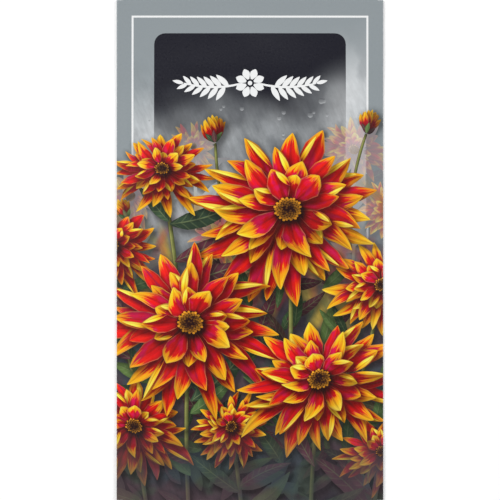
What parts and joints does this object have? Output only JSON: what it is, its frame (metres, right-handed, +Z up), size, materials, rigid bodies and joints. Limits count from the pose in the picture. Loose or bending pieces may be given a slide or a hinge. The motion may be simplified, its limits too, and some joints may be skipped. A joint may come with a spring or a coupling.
{
  "type": "seed packet",
  "caption": "Flat rectangular seed packet, folded and glued from one sheet of printed paper, closed at both ends round a small heap of seeds.",
  "frame": {"origin": "on the surface that the packet lies on, under the middle of its outline", "axes": "+Z up, out of the printed front; +Y along the packet towards its top; +X to the right as the front is read"},
  "size_m": [0.085, 0.16, 0.0038],
  "materials": {
    "printed_paper": "gloss-coated paper, printed in full colour outside, white inside",
    "seed_coat": "smooth, shiny, near-black seed coat"
  },
  "bodies": {
    "root": {"paper_packet": "printed_paper", "seed_heap": "seed_coat"}
  },
  "joints": []
}
